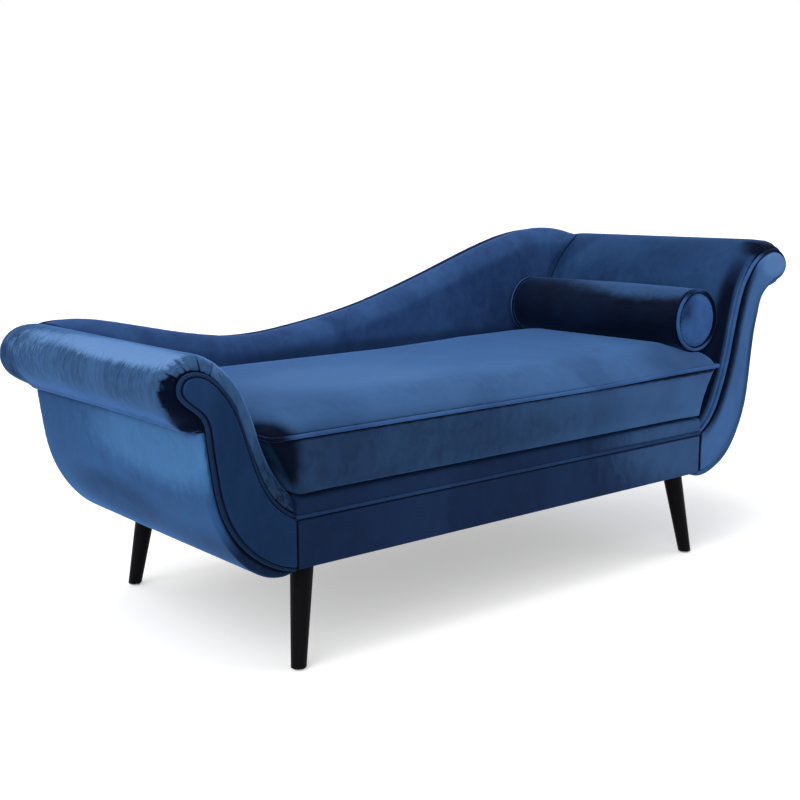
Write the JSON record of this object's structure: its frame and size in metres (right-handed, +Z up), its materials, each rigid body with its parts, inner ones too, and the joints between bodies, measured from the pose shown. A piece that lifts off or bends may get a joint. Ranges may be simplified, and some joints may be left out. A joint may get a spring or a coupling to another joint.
{
  "type": "chaise longue with bolster",
  "caption": "Velvet chaise longue with low and high scroll arms, S-curved back, loose box seat cushion, round bolster and splayed tapered legs.",
  "frame": {"origin": "on the floor, under the middle of the overall length and depth", "axes": "+Z up, +X along the seat to the high arm, +Y from the open front to the back"},
  "size_m": [1.7933, 0.7182, 0.7731],
  "materials": {
    "velvet": "deep blue cut-pile velvet with a light sheen along the nap",
    "velvet_piping": "the same blue velvet cut on the bias over a cord",
    "frame_timber": "sawn pine, unfinished",
    "plywood": "raw plywood",
    "black_leg_wood": "black satin lacquer",
    "glide_plastic": "off-white nail-on glide",
    "zinc_steel": "bright zinc",
    "spring_steel": "dark oiled spring wire",
    "dust_cloth": "black non-woven cloth",
    "foam": "upholstery foam",
    "zip_tape": "woven zip tape with a coil, dark blue",
    "slider_metal": "dark blue lacquered zip slider"
  },
  "bodies": {
    "root": {"arm_bolts": "zinc_steel", "back_inner_panel": "plywood", "back_lower_rails": "frame_timber", "back_pad": "velvet", "back_posts": "frame_timber", "back_top_rail": "frame_timber", "deck_edge_roll": "velvet", "deck_pad": "velvet", "dust_cover": "dust_cloth", "foot_glides": "glide_plastic", "front_rail_cover": "velvet", "front_rail_piping": "velvet_piping", "left_arm_back_board": "plywood", "left_arm_back_facing": "velvet", "left_arm_back_piping": "velvet_piping", "left_arm_battens": "frame_timber", "left_arm_front_board": "plywood", "left_arm_front_facing": "velvet", "left_arm_front_piping": "velvet_piping", "left_arm_outer_panel": "velvet", "left_arm_pad": "velvet", "left_arm_skin": "plywood", "leg_back_left": "black_leg_wood", "leg_back_right": "black_leg_wood", "leg_front_left": "black_leg_wood", "leg_front_right": "black_leg_wood", "leg_plates": "zinc_steel", "leg_studs": "zinc_steel", "outside_back": "velvet", "outside_back_piping": "velvet_piping", "right_arm_back_board": "plywood", "right_arm_back_facing": "velvet", "right_arm_back_piping": "velvet_piping", "right_arm_battens": "frame_timber", "right_arm_front_board": "plywood", "right_arm_front_facing": "velvet", "right_arm_front_piping": "velvet_piping", "right_arm_outer_panel": "velvet", "right_arm_pad": "velvet", "right_arm_skin": "plywood", "seat_back_rail": "frame_timber", "seat_corner_blocks": "frame_timber", "seat_cross_rails": "frame_timber", "seat_front_rail": "frame_timber", "seat_left_rail": "frame_timber", "seat_right_rail": "frame_timber", "seat_springs": "spring_steel", "spring_clips": "zinc_steel"},
    "seat_cushion": {"cushion_cover": "velvet", "cushion_foam": "foam", "cushion_piping": "velvet_piping", "cushion_zip": "zip_tape"},
    "bolster": {"bolster_cover": "velvet", "bolster_foam": "foam", "bolster_end_caps": "velvet", "bolster_pipings": "velvet_piping"},
    "zip_slider": {"cushion_zip_slider": "slider_metal"}
  },
  "joints": [
    {"name": "cushion_lift", "type": "slide", "parent": "root", "child": "seat_cushion", "axis": [0, 0, 1], "range_m": [0, 0.5]},
    {"name": "bolster_lift", "type": "slide", "parent": "seat_cushion", "child": "bolster", "axis": [0, 0, 1], "range_m": [0, 0.3]},
    {"name": "zip_slide", "type": "slide", "parent": "seat_cushion", "child": "zip_slider", "axis": [1, 0, 0], "range_m": [0, 0.497]}
  ]
}
